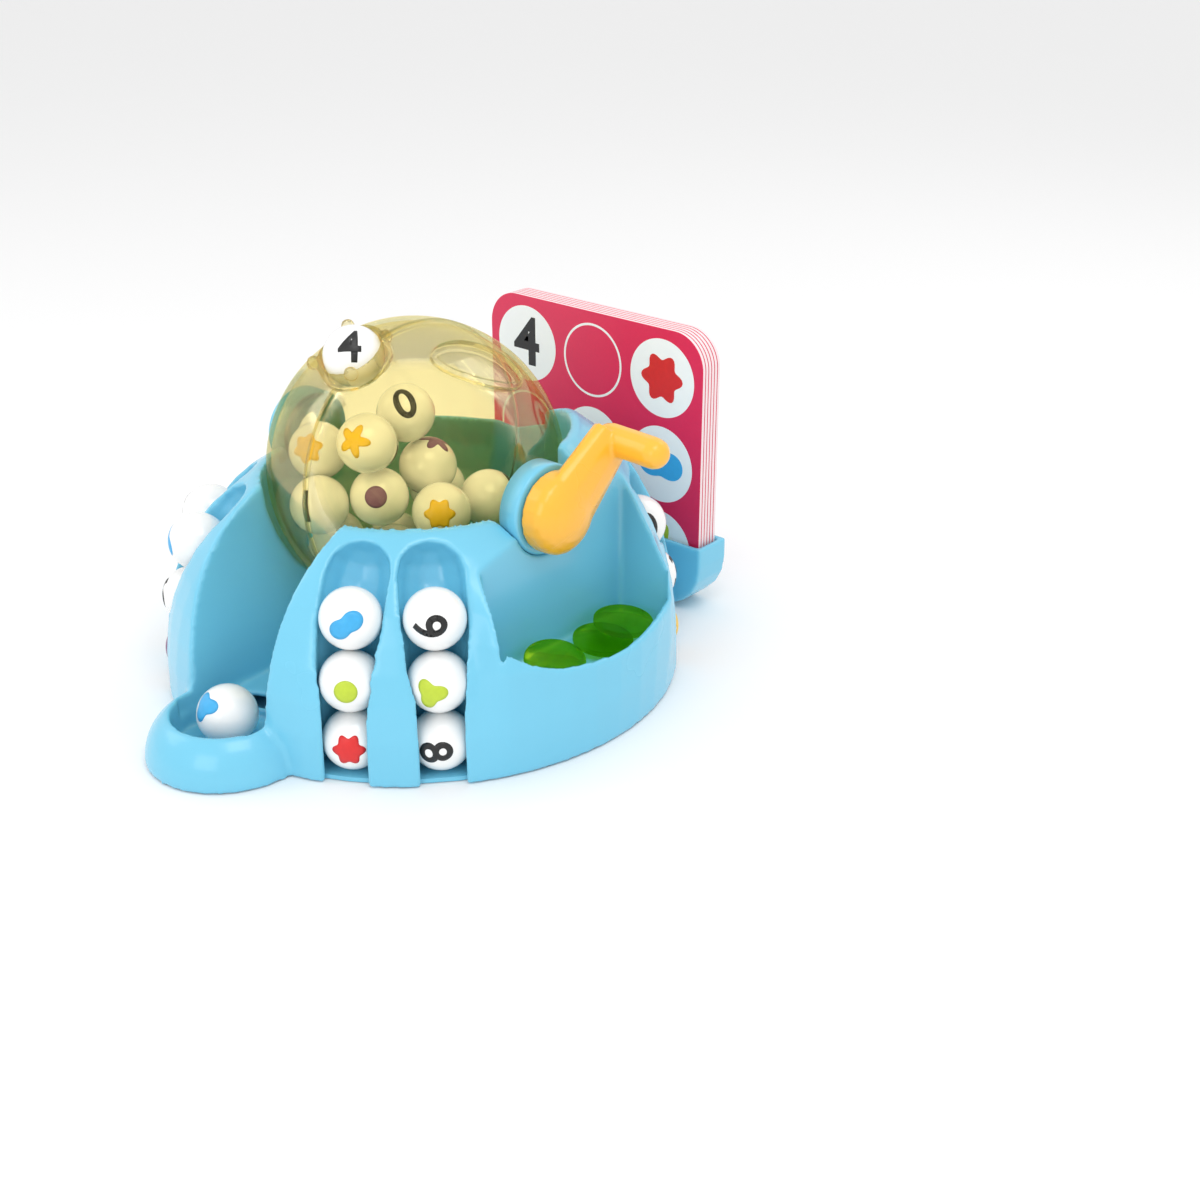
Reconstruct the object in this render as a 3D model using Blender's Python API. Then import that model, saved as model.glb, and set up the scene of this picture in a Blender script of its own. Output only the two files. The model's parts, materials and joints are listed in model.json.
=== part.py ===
"""Tabletop bingo cage for number and symbol balls.

A translucent drum turns on a horizontal axle (X) over a domed base.  Balls leave the drum through the
gate ring, run down the front chute to the tray, and are parked in the columns round the base.  A card
rack stands behind, and a side pocket holds the marker tokens.

Frame: metres, +Z up, +X to the crank side, -Y to the tray, origin on the ground under the drum's centre.
"""

import math

import bmesh
import bpy
from mathutils import Matrix, Vector

# ---- driving dimensions (metres, degrees) ----
GAP = 0.0003                # clearance between pieces that touch
WALL = 0.003                # wall of the mouldings

BALL_R = 0.01375            # printed ball
BALL_PLAY = 0.00085         # play round a ball in its channel

DRUM_R = 0.070              # outside of the drum
DRUM_WALL = 0.0022
DRUM_Z = 0.101              # height of the drum's axis
DRUM_PLAY = 0.003           # gap between the drum and the bowl
SEAM_LIP = 0.0022           # reach of the spigot across the seam

DOME_R = 0.125              # base dome at the ground
DOME_FRONT = 0.114          # height of the dome's curve in front
DOME_REAR = 0.141           # height of the dome's curve behind, the hood
DOME_POWER = 2.5            # super-ellipse exponent of the dome
RIM_WIDTH = 0.004           # flat top of the rim round the bowl
HOOD_RISE = (80.0, 108.0)   # azimuths from the front, by the crank, where the hood rises
HOOD_FALL = (140.0, 200.0)  # azimuths behind where it falls again

GATE_ANGLE = 29.4           # gate, forward of the top of the drum
GATE_WALL = 0.0022
GATE_LUGS = 4
GATE_RISE = 0.0045          # gate ring above the drum

HATCH_LEAN = 34.0           # loading hatch, towards the crank from the top
HATCH_BACK = 6.0            # loading hatch, backwards from the top
HATCH_LONG = 0.023          # half length of the hatch
HATCH_WIDE = 0.013          # half width of the hatch

NECK_R = 0.0195             # moulded neck at each end of the drum
NECK_END = 0.0735           # distance of the neck's end from the centre
STUB_R = 0.010              # stub shaft beyond the neck
COLLAR_R = 0.021            # bearing collar outside
COLLAR_LENGTH = 0.0100

CRANK_HUB_R = 0.0188
CRANK_HUB_LENGTH = 0.0165
CRANK_ARM_ROOT = 0.0180      # half width of the arm at the hub
CRANK_ARM_TIP = 0.0125       # half width of the arm at the handle
CRANK_SEAT = 0.0085         # how far the stub shaft reaches into the hub
CRANK_REACH = 0.042         # axle to handle
CRANK_ANGLE = 39.0          # arm above the horizontal, leaning back
CRANK_HANDLE = 0.034        # length of the handle along the axle
CRANK_GRIP_R = 0.0073
CRANK_ARM_THICK = 0.0075      # half thickness of the arm at the hub
CRANK_ARM_SET = 0.0078        # middle of the arm beyond the hub's back

COLUMNS = {"right_1": 29.6, "right_2": 49.4, "right_3": 131.0,
           "left_1": -38.0, "left_2": -57.5, "left_3": -131.0}    # azimuth of each ball column
COLUMN_RADII = (0.1115, 0.1100, 0.1045)    # distance of each ball from the vertical axis
COLUMN_NAMES = ("low", "middle", "top")
ARCH_BACK = 0.0145          # round head of each channel, inwards of its top ball
ARCH_RISE = 0.0150          # and above it
SLOT_WIDTH = 0.0198         # front slot that keeps the balls in

CHUTE_HALF = 0.025          # half width of the chute at its foot
CHUTE_FLARE = 0.0125        # how far its left wall leans out at the top
CHUTE_BACK = (-0.020, 0.0170)   # floor of the chute at its inner end: y, z
CHUTE_FRONT = (-0.108, 0.0130)  # floor of the chute at the tray

TRAY_Y = -0.122             # centre of the tray
TRAY_FOOT_R = 0.0375
TRAY_RIM_Z = 0.0215
TRAY_BOWL_R = 0.0245
TRAY_FLOOR = 0.0045
TRAY_RIM_WIDE = 0.0018        # width of the flat rim
TRAY_SWEEP = 62.0             # how far round the dome the foot runs before the rim cuts it off

POCKET_R = 0.1265           # outer wall of the pocket, which stands proud of the dome
POCKET_SWELL = (56.0, 63.5, 112.0, 121.0)   # azimuths where the dome swells out to it and back
POCKET_RIBS = 6             # extra columns of faces in each of the two swells
POCKET_X = 0.084            # flat back wall of the token pocket
POCKET_FRONT = 62.0         # azimuths of the pocket's ends
POCKET_REAR_Y = 0.050
POCKET_FLOOR = 0.033
POCKET_LIP = 0.043          # height of the lip at its lowest
TOKEN_R = 0.014
TOKEN_THICK = 0.0022

COVER_Z = 0.0               # underside of the bottom cover
COVER_THICK = 0.0020
COVER_POSTS = ((-0.046, -0.014), (0.046, -0.014), (-0.042, 0.050), (0.042, 0.050))
POST_R = 0.0045
SCREW_R = 0.0012
SCREW_HEAD_R = 0.0032
SCREW_HEAD = 0.0012
SCREW_LENGTH = 0.012

CARD_SIDE = 0.144
CARD_THICK = 0.0021
CARD_COUNT = 6
CARD_CORNER = 0.018
RACK_Y = 0.1228             # face of the rack that meets the base
RACK_HEIGHT = 0.037
RACK_BOTTOM = 0.0006
RACK_CORNER = 0.026
RACK_SCREW_X = 0.014
RACK_SCREW_Z = 0.020

# Loose balls in the drum: offsets of their centres from the drum's centre.
DRUM_BALLS = (
    (-0.0164, -0.0473, -0.0098), (0.0017, -0.0264, -0.0073), (0.0017, -0.0320, 0.0205),
    (-0.0316, -0.0332, 0.0092), (-0.0023, -0.0036, 0.0266), (0.0261, -0.0105, -0.0134),
    (-0.0086, 0.0206, -0.0193), (0.0279, 0.0189, -0.0151), (-0.0250, -0.0320, -0.0340),
    (0.0000, -0.0180, -0.0390), (-0.0240, 0.0060, -0.0470), (-0.0270, -0.0050, 0.0060),
    (0.0040, 0.0030, 0.0000),
)

DOME_STEPS = 52
DOME_ROWS = 8
BOWL_STEPS = 40
DRUM_STEPS = 28


# ---- materials ----
def material(name, colour, rough=0.3, alpha=1.0, transmission=0.0):
    mat = bpy.data.materials.get(name)
    if mat:
        return mat
    mat = bpy.data.materials.new(name)
    mat.use_nodes = True
    shader = mat.node_tree.nodes["Principled BSDF"]
    shader.inputs["Base Color"].default_value = (*colour, 1.0)
    shader.inputs["Roughness"].default_value = rough
    shader.inputs["Metallic"].default_value = 0.0
    shader.inputs["Alpha"].default_value = alpha
    shader.inputs["Transmission Weight"].default_value = transmission
    return mat


def blue():
    return material("blue_moulding", (0.14, 0.55, 0.76))


def yellow_clear():
    return material("clear_yellow", (0.93, 0.80, 0.25), 0.08, 0.45, 0.6)


def orange():
    return material("crank_orange", (0.96, 0.52, 0.06))


def white():
    return material("ball_white", (0.90, 0.90, 0.90), 0.25)


def green():
    return material("token_green", (0.45, 0.65, 0.03), 0.1, 0.6, 0.5)


def crimson():
    return material("card_crimson", (0.75, 0.02, 0.10), 0.5)


def steel():
    material("screw_steel", (0.6, 0.6, 0.6), 0.35)
    mat = bpy.data.materials["screw_steel"]
    mat.node_tree.nodes["Principled BSDF"].inputs["Metallic"].default_value = 1.0
    return mat


# ---- mesh helpers ----
def finish(bm, name, mat=None, smooth=35.0):
    """Weld the bmesh, turn its faces out and link it as an object."""
    bmesh.ops.remove_doubles(bm, verts=bm.verts, dist=1e-6)
    bmesh.ops.recalc_face_normals(bm, faces=bm.faces)
    mesh = bpy.data.meshes.new(name)
    bm.to_mesh(mesh)
    bm.free()
    mesh.shade_smooth()
    mesh.set_sharp_from_angle(angle=math.radians(smooth))
    if mat:
        mesh.materials.append(mat)
    obj = bpy.data.objects.new(name, mesh)
    bpy.context.scene.collection.objects.link(obj)
    return obj


def turned(profile, steps, axis="Z", centre=(0, 0, 0)):
    """Turn a closed or axis-to-axis outline of (radius, height) points once round an axis."""
    bm = bmesh.new()
    verts = [bm.verts.new((r, 0, h)) for r, h in profile]
    for one, two in zip(verts, verts[1:]):
        bm.edges.new((one, two))
    if profile[0][0] > 1e-9 and profile[-1][0] > 1e-9:
        bm.edges.new((verts[-1], verts[0]))
    bmesh.ops.spin(bm, geom=bm.verts[:] + bm.edges[:], cent=(0, 0, 0), axis=(0, 0, 1),
                   angle=math.tau, steps=steps, use_merge=True)
    bmesh.ops.remove_doubles(bm, verts=bm.verts, dist=1e-6)
    if axis == "X":
        bm.transform(Matrix.Rotation(math.radians(90), 4, "Y"))
    bm.transform(Matrix.Translation(centre))
    return bm


def prism(outline, low, high, axis="Z"):
    """Extrude a flat outline: (x, y) along Z, (y, z) along X, or (x, z) along Y."""
    bm = bmesh.new()
    place = {"Z": lambda a, b: (a, b, low), "X": lambda a, b: (low, a, b), "Y": lambda a, b: (a, low, b)}[axis]
    face = bm.faces.new([bm.verts.new(place(a, b)) for a, b in outline])
    made = bmesh.ops.extrude_face_region(bm, geom=[face])
    shift = {"Z": (0, 0, 1), "X": (1, 0, 0), "Y": (0, 1, 0)}[axis]
    moved = [v for v in made["geom"] if isinstance(v, bmesh.types.BMVert)]
    bmesh.ops.translate(bm, verts=moved, vec=Vector(shift) * (high - low))
    return bm


def box(low, high):
    return prism([(low[0], low[1]), (high[0], low[1]), (high[0], high[1]), (low[0], high[1])],
                 low[2], high[2])


def round_rectangle(half_x, half_y, radii, steps=5):
    """Outline with one corner radius each for: low left, low right, high right, high left."""
    corners = ((-1, -1), (1, -1), (1, 1), (-1, 1))
    points = []
    for number, ((sx, sy), radius) in enumerate(zip(corners, radii)):
        start = math.radians(180 + 90 * number)
        for step in range(steps + 1):
            turn = start + math.radians(90) * step / steps
            points.append((sx * (half_x - radius) + radius * math.cos(turn),
                           sy * (half_y - radius) + radius * math.sin(turn)))
    return points


def ball_mesh(radius, segments=9, rings=6):
    bm = bmesh.new()
    bmesh.ops.create_uvsphere(bm, u_segments=segments, v_segments=rings, radius=radius)
    return bm


def tube_along(path, radius, sides=14, ends=4):
    """A round bar along a path of points, with hemispherical ends."""
    points = [Vector(p) for p in path]
    rings = []
    first = (points[1] - points[0]).normalized()
    last = (points[-1] - points[-2]).normalized()
    for step in range(1, ends + 1):
        turn = math.radians(90) * step / ends
        if step < ends:
            rings.append((points[0] - first * radius * math.cos(turn), first, radius * math.sin(turn)))
    for number, point in enumerate(points):
        before = points[max(number - 1, 0)]
        after = points[min(number + 1, len(points) - 1)]
        rings.append((point, (after - before).normalized(), radius))
    for step in range(1, ends):
        turn = math.radians(90) * step / ends
        rings.append((points[-1] + last * radius * math.sin(turn), last, radius * math.cos(turn)))
    bm = bmesh.new()
    side = first.orthogonal().normalized()
    loops = []
    for centre, along, size in rings:
        side = (side - along * side.dot(along)).normalized()
        other = along.cross(side)
        loops.append([bm.verts.new(centre + size * (side * math.cos(math.tau * k / sides)
                                                    + other * math.sin(math.tau * k / sides)))
                      for k in range(sides)])
    for one, two in zip(loops, loops[1:]):
        for k in range(sides):
            bm.faces.new((one[k], one[(k + 1) % sides], two[(k + 1) % sides], two[k]))
    for loop, pole in ((loops[0], points[0] - first * radius), (loops[-1], points[-1] + last * radius)):
        tip = bm.verts.new(pole)
        for k in range(sides):
            bm.faces.new((loop[k], loop[(k + 1) % sides], tip))
    return bm


def as_cutter(obj, group=None):
    obj.hide_render = True
    obj.display_type = "WIRE"
    if group:
        group.objects.link(obj)
        bpy.context.scene.collection.objects.unlink(obj)
    return obj


def boolean(obj, tool, operation="DIFFERENCE"):
    mod = obj.modifiers.new("boolean", "BOOLEAN")
    mod.operation = operation
    mod.solver = "EXACT"
    if isinstance(tool, bpy.types.Collection):
        mod.operand_type = "COLLECTION"
        mod.collection = tool
    else:
        mod.object = tool
    return obj


def cutters(name):
    group = bpy.data.collections.new(name)
    bpy.context.scene.collection.children.link(group)
    return group


# ---- the base's outer form ----
def smooth_step(t):
    t = min(max(t, 0.0), 1.0)
    return t * t * (3 - 2 * t)


def dome_height(azimuth):
    """Height of the dome's curve at an azimuth from the front; the hood is behind the crank."""
    azimuth %= 360.0
    rise = smooth_step((azimuth - HOOD_RISE[0]) / (HOOD_RISE[1] - HOOD_RISE[0]))
    fall = smooth_step((HOOD_FALL[1] - azimuth) / (HOOD_FALL[1] - HOOD_FALL[0]))
    return DOME_FRONT + (DOME_REAR - DOME_FRONT) * rise * fall


def swollen(radius, azimuth, height, offset):
    """Radius of the dome after it swells out to the pocket's steep wall."""
    start, full, end, gone = POCKET_SWELL
    along = smooth_step((azimuth - start) / (full - start)) * smooth_step((gone - azimuth) / (gone - end))
    up = smooth_step((0.090 - height) / 0.040)
    return radius + max(POCKET_R - offset - radius, 0.0) * along * up


def bowl_r():
    return DRUM_R + DRUM_PLAY


def add_pocket_ribs(bm):
    """Splits the dome's faces where it swells out to the pocket, so that the swell is smooth."""
    start, full, end, gone = POCKET_SWELL
    for low, high in ((start, full), (end, gone)):
        for rib in range(POCKET_RIBS):
            turn = math.radians(low + (high - low) * rib / (POCKET_RIBS - 1))
            faces = [face for face in bm.faces if face.calc_center_median().x > 0.01]
            edges = {edge for face in faces for edge in face.edges}
            verts = {vert for face in faces for vert in face.verts}
            bmesh.ops.bisect_plane(bm, geom=[*faces, *edges, *verts], dist=1e-6, plane_co=(0, 0, 0),
                                   plane_no=(math.cos(turn), math.sin(turn), 0))


def dome(offset, skirt):
    """The solid dome, moved in by offset, from a skirt height up to the flat rim."""
    radius = DOME_R - offset
    front = DOME_FRONT - offset
    power = 2.0 / DOME_POWER
    rim = bowl_r() + RIM_WIDTH if offset == 0 else bowl_r() - WALL
    top = math.acos((rim / radius) ** (1 / power))
    profile = [(0.0, skirt), (radius, skirt)]
    for row in range(0 if skirt < 0 else 1, DOME_ROWS + 1):
        turn = top * row / DOME_ROWS
        profile.append((radius * math.cos(turn) ** power, front * math.sin(turn) ** power))
    profile.append((0.0, profile[-1][1]))
    bm = turned(profile, DOME_STEPS)
    add_pocket_ribs(bm)
    for vert in bm.verts:
        if vert.co.z > 0:
            azimuth = math.degrees(math.atan2(vert.co.x, -vert.co.y))
            if vert.co.xy.length < 1e-6:
                azimuth = HOOD_RISE[1]
            vert.co.z *= (dome_height(azimuth) - offset) / front
            radius = vert.co.xy.length
            if radius > rim:
                scale = swollen(radius, azimuth, vert.co.z, offset) / radius
                vert.co.x *= scale
                vert.co.y *= scale
    return bm


# ---- spaces in the base; grow is the wall round a space, nought for the space itself ----
def bowl_space(grow):
    radius = bowl_r() + grow
    profile = [(0.0, DRUM_Z - radius)]
    for step in range(1, 9):
        turn = math.radians(90 * step / 8)
        profile.append((radius * math.sin(turn), DRUM_Z - radius * math.cos(turn)))
    profile += [(radius, 0.2), (0.0, 0.2)]
    return turned(profile, BOWL_STEPS)


def path_space(grow):
    """Groove that the ball in the gate sweeps as the drum turns."""
    radius = gate_ball_distance() + BALL_R + 0.0015 + grow
    half = BALL_R + GATE_WALL + 0.0010 + grow
    return turned([(0.0, -half), (radius, -half), (radius, half), (0.0, half)], BOWL_STEPS, "X", (0, 0, DRUM_Z))


def gate_ball_distance():
    return DRUM_R + 0.0012


def chute_space(grow):
    """Chute with an upright right wall and a left wall that leans out as it rises."""
    top = 0.2
    outline = [(CHUTE_HALF + grow, -0.01), (CHUTE_HALF + grow, top), (-CHUTE_HALF - CHUTE_FLARE - grow, top)]
    for step in range(8, -1, -1):
        t = step / 8
        outline.append((-CHUTE_HALF - CHUTE_FLARE * smooth_step(t) - grow, TRAY_RIM_Z + t * 0.070))
    outline.append((-CHUTE_HALF - grow, -0.01))
    bm = prism(outline, -DOME_R - 0.006 - grow, CHUTE_BACK[0] + grow, "Y")
    slope = Vector((0, CHUTE_BACK[0] - CHUTE_FRONT[0], CHUTE_BACK[1] - CHUTE_FRONT[1])).normalized()
    floor = Vector((0, -slope.z, slope.y))
    cut = bmesh.ops.bisect_plane(bm, geom=bm.verts[:] + bm.edges[:] + bm.faces[:], plane_no=floor,
                                 plane_co=(0, CHUTE_BACK[0], CHUTE_BACK[1] - grow), clear_inner=True)
    edges = [e for e in cut["geom_cut"] if isinstance(e, bmesh.types.BMEdge)]
    bmesh.ops.holes_fill(bm, edges=edges)
    return bm


def tray_space(grow):
    return turned([(0.0, TRAY_FLOOR - grow), (TRAY_BOWL_R + grow, TRAY_FLOOR - grow),
                   (TRAY_BOWL_R + grow, 0.15), (0.0, 0.15)], 40, "Z", (0, TRAY_Y, 0))


def step_space():
    """Low curved step behind the tray."""
    radius = TRAY_BOWL_R + 0.0065
    points = []
    for step in range(13):
        turn = math.radians(38 + 104 * step / 12)
        points.append((radius * math.cos(turn), TRAY_Y + radius * math.sin(turn)))
    return prism(points, (TRAY_FLOOR + CHUTE_FRONT[1]) / 2, 0.15)


def column_balls():
    """Centres of one column's balls in its own plane, each resting on the one below."""
    height = COVER_Z + COVER_THICK + GAP + BALL_R
    centres = [(COLUMN_RADII[0], height)]
    for below, radius in zip(COLUMN_RADII, COLUMN_RADII[1:]):
        height += math.sqrt((2 * BALL_R + GAP) ** 2 - (radius - below) ** 2)
        centres.append((radius, height))
    return centres


def arch():
    """Centre of the round head of a channel."""
    radius, height = column_balls()[-1]
    return radius - ARCH_BACK, height + ARCH_RISE


def channel_path():
    """Axis of a ball channel in its own plane, from under the ground to the arch."""
    (low_r, low_z), (mid_r, mid_z), (top_r, top_z) = column_balls()
    head = arch()
    return [(low_r, -0.02), (low_r, low_z), ((low_r + mid_r) / 2, (low_z + mid_z) / 2), (mid_r, mid_z),
            ((mid_r + top_r) / 2 + 0.0006, (mid_z + top_z) / 2), (top_r, top_z),
            (top_r * 0.55 + head[0] * 0.45, top_z * 0.55 + head[1] * 0.45), head]


def column_spaces(azimuth, grow):
    """Channel, front slot and open mouth of one ball column."""
    radius = BALL_R + BALL_PLAY
    turn = Matrix.Rotation(math.radians(azimuth - 90), 4, "Z")
    pipe = tube_along([(r, 0, z) for r, z in channel_path()], radius + grow, 10, 3)
    half = SLOT_WIDTH / 2 + grow
    low_r, top_r, top_z = COLUMN_RADII[0], *column_balls()[-1]
    head_r, head_z = arch()
    slot_top = top_z - BALL_R * 0.75 + grow
    slot = prism([(low_r - grow, -0.02), (DOME_R + 0.02, -0.02), (DOME_R + 0.02, slot_top),
                  (top_r - grow, slot_top)], -half, half, "Y")
    lift = grow * 0.6
    mouth_low = top_z - 0.0045 - grow
    mouth = prism([(top_r - lift, mouth_low), (top_r + 0.04, mouth_low),
                   (head_r + 0.04 - lift, head_z + 0.04 + lift), (head_r - lift, head_z + lift)],
                  -radius - grow + GAP, radius + grow - GAP, "Y")
    for bm in (pipe, slot, mouth):
        bm.transform(turn)
    return pipe, slot, mouth


def pocket_outline(high_r, grow):
    """Plan of the token pocket between its flat back wall and an outer radius."""
    front = math.radians(POCKET_FRONT)
    back_x = POCKET_X - grow
    points = [(back_x, POCKET_REAR_Y + grow), (back_x, -back_x / math.tan(front) - grow)]
    for step in range(9):
        turn = front + (math.radians(112.5) - front) * step / 8
        points.append((high_r * math.sin(turn), -high_r * math.cos(turn)))
    points[2] = (points[2][0], points[2][1] - grow)
    points[-1] = (math.sqrt(high_r ** 2 - (POCKET_REAR_Y + grow) ** 2), POCKET_REAR_Y + grow)
    return points


def pocket_space(grow):
    return prism(pocket_outline(POCKET_R - WALL + grow, grow), POCKET_FLOOR - grow, 0.2)


def lip_height(azimuth):
    """Wavy lip of the pocket: high at the front end, lowest past the middle."""
    t = (azimuth - POCKET_FRONT) / (112.0 - POCKET_FRONT)
    wave = 0.0016 * math.sin(t * math.tau * 1.25)
    return POCKET_LIP + 0.016 * max(0.0, 1 - t * 3.2) ** 2 + 0.0045 * t ** 3 + 0.003 * (1 - t) + wave


def pocket_mouth():
    """What is cut from the outer wall above the lip."""
    bm = bmesh.new()
    low, high = [], []
    count = 16
    for step in range(count + 1):
        azimuth = POCKET_FRONT + (113.5 - POCKET_FRONT) * step / count
        turn = math.radians(azimuth)
        ring = []
        for radius in (POCKET_R - WALL - 0.006, POCKET_R + 0.02):
            for z in (lip_height(azimuth), 0.2):
                ring.append(bm.verts.new((radius * math.sin(turn), -radius * math.cos(turn), z)))
        low.append(ring)
    for one, two in zip(low, low[1:]):
        for a, b in ((0, 1), (1, 3), (3, 2), (2, 0)):
            bm.faces.new((one[a], one[b], two[b], two[a]))
    for ring in (low[0], low[-1]):
        bm.faces.new((ring[0], ring[1], ring[3], ring[2]))
    return bm


def collar_space(side, grow):
    """Saddle for a bearing collar, open at the top."""
    radius = COLLAR_R + GAP + grow
    inner = bowl_r() - 0.004
    outer = NECK_END + GAP + COLLAR_LENGTH + GAP + grow
    outline = []
    for step in range(13):
        turn = math.radians(180 + 180 * step / 12)
        outline.append((radius * math.cos(turn), DRUM_Z + radius * math.sin(turn)))
    outline += [(radius, 0.2), (-radius, 0.2)]
    low, high = (inner, outer) if side > 0 else (-outer, -inner)
    return prism(outline, low, high, "X")


def foot_form(offset):
    """Round foot of the tray, the lower part of a dome cut off level at the rim."""
    profile = [(0.0, -0.005 if offset else 0.0), (TRAY_FOOT_R - offset, -0.005 if offset else 0.0)]
    sweep = math.radians(TRAY_SWEEP)
    spread = (TRAY_FOOT_R - TRAY_BOWL_R - TRAY_RIM_WIDE) / (1 - math.cos(sweep))
    rise = (TRAY_RIM_Z - offset) / math.sin(sweep)
    for step in range(0 if offset else 1, 8):
        turn = sweep * step / 7
        profile.append((TRAY_FOOT_R - offset - spread * (1 - math.cos(turn)), rise * math.sin(turn)))
    profile.append((0.0, TRAY_RIM_Z - offset))
    return turned(profile, 40, "Z", (0, TRAY_Y, 0))


# ---- sub-parts ----
def base_shell():
    spaces = cutters("base_spaces")
    walls = cutters("base_walls")
    for name, azimuth in COLUMNS.items():
        for number, bm in enumerate(column_spaces(azimuth, 0.0)):
            as_cutter(finish(bm, f"cut_column_{name}_{number}"), spaces)
        for number, bm in enumerate(column_spaces(azimuth, 0.0025)):
            as_cutter(finish(bm, f"wall_column_{name}_{number}"), walls)
    for side in (1, -1):
        as_cutter(finish(collar_space(side, 0.0), f"cut_collar_{side}"), spaces)
        as_cutter(finish(collar_space(side, WALL), f"wall_collar_{side}"), walls)
    for name, form in (("bowl", bowl_space), ("path", path_space), ("chute", chute_space),
                       ("tray", tray_space), ("pocket", pocket_space)):
        as_cutter(finish(form(0.0), "cut_" + name), spaces)
        as_cutter(finish(form(WALL), "wall_" + name), walls)
    as_cutter(finish(step_space(), "cut_step"), spaces)
    as_cutter(finish(pocket_mouth(), "cut_pocket_mouth"), spaces)

    recess_r, recess_top = DOME_R - WALL - 0.0007, COVER_Z + COVER_THICK + GAP
    recess = turned([(0.0, -0.02), (recess_r, -0.02), (recess_r, recess_top), (0.0, recess_top)], DOME_STEPS)
    as_cutter(finish(recess, "cut_cover"), spaces)
    rack_face = box((-0.04, RACK_Y - GAP, -0.01), (0.04, DOME_R + 0.03, 0.052))
    as_cutter(finish(rack_face, "cut_rack_face"), spaces)
    rack_pad = box((-0.028, RACK_Y - 0.006, -0.01), (0.028, DOME_R + 0.01, 0.046))
    as_cutter(finish(rack_pad, "wall_rack_face"), walls)
    for number, (x, y) in enumerate(COVER_POSTS, 1):
        as_cutter(finish(turned([(0.0, -0.01), (POST_R, -0.01), (POST_R, 0.09), (0.0, 0.09)], 12, "Z", (x, y, 0)),
                         f"wall_post_{number}"), walls)
        pilot = COVER_Z + SCREW_LENGTH + 0.001
        as_cutter(finish(turned([(0.0, -0.01), (SCREW_R + GAP, -0.01), (SCREW_R + GAP, pilot), (0.0, pilot)],
                                8, "Z", (x, y, 0)), f"cut_post_{number}"), spaces)
    for side in (1, -1):
        hole = turned([(0.0, 0.0), (SCREW_R + GAP, 0.0), (SCREW_R + GAP, 0.02), (0.0, 0.02)], 8)
        hole.transform(Matrix.Translation((side * RACK_SCREW_X, RACK_Y + 0.004, RACK_SCREW_Z))
                       @ Matrix.Rotation(math.radians(90), 4, "X"))
        as_cutter(finish(hole, f"cut_rack_screw_{side}"), spaces)

    foot = as_cutter(finish(foot_form(0.0), "form_tray_foot"))
    cavity = as_cutter(finish(dome(WALL, -0.01), "form_cavity"))
    foot_cavity = as_cutter(finish(foot_form(WALL), "form_foot_cavity"))
    boolean(cavity, foot_cavity, "UNION")
    boolean(cavity, walls)
    base = finish(dome(0.0, 0.0), "base_shell", blue())
    boolean(base, foot, "UNION")
    boolean(base, spaces)
    boolean(base, cavity)
    return base


def bottom_cover():
    radius = DOME_R - WALL - 0.001
    cover = finish(turned([(0.0, COVER_Z), (radius, COVER_Z), (radius, COVER_Z + COVER_THICK),
                           (0.0, COVER_Z + COVER_THICK)], 48), "bottom_cover", blue())
    holes = cutters("cover_holes")
    for number, (x, y) in enumerate(COVER_POSTS, 1):
        step = COVER_Z + SCREW_HEAD
        as_cutter(finish(turned([(0.0, -0.01), (SCREW_HEAD_R + GAP, -0.01), (SCREW_HEAD_R + GAP, step),
                                 (SCREW_R + GAP, step), (SCREW_R + GAP, 0.01), (0.0, 0.01)], 10, "Z", (x, y, 0)),
                         f"cut_cover_{number}"), holes)
    boolean(cover, holes)
    for number, (x, y) in enumerate(COVER_POSTS, 1):
        top = COVER_Z + SCREW_HEAD - GAP
        screw = finish(turned([(0.0, COVER_Z), (SCREW_HEAD_R, COVER_Z), (SCREW_HEAD_R, top), (SCREW_R, top),
                               (SCREW_R, COVER_Z + SCREW_LENGTH), (0.0, COVER_Z + SCREW_LENGTH)], 10),
                       f"cover_screw_{number}", steel())
        screw.location = (x, y, 0)
    return cover


def gate_direction():
    turn = math.radians(GATE_ANGLE)
    return Vector((0, -math.sin(turn), math.cos(turn)))


def gate_frame():
    """From a frame with Z along the gate's axis and its origin at the drum's centre."""
    return Matrix.Translation((0, 0, DRUM_Z)) @ Matrix.Rotation(math.radians(GATE_ANGLE), 4, "X")


def hatch_frame():
    return (Matrix.Translation((0, 0, DRUM_Z)) @ Matrix.Rotation(math.radians(-HATCH_BACK), 4, "X")
            @ Matrix.Rotation(math.radians(HATCH_LEAN), 4, "Y"))


def hatch_outline(grow, count=20):
    """Oval of the hatch, turned so that its long side runs to the rear right."""
    turn = Matrix.Rotation(math.radians(62), 2)
    points = []
    for step in range(count):
        angle = math.tau * step / count
        point = turn @ Vector(((HATCH_LONG + grow) * math.cos(angle), (HATCH_WIDE + grow) * math.sin(angle)))
        points.append((point.x, point.y))
    return points


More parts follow.
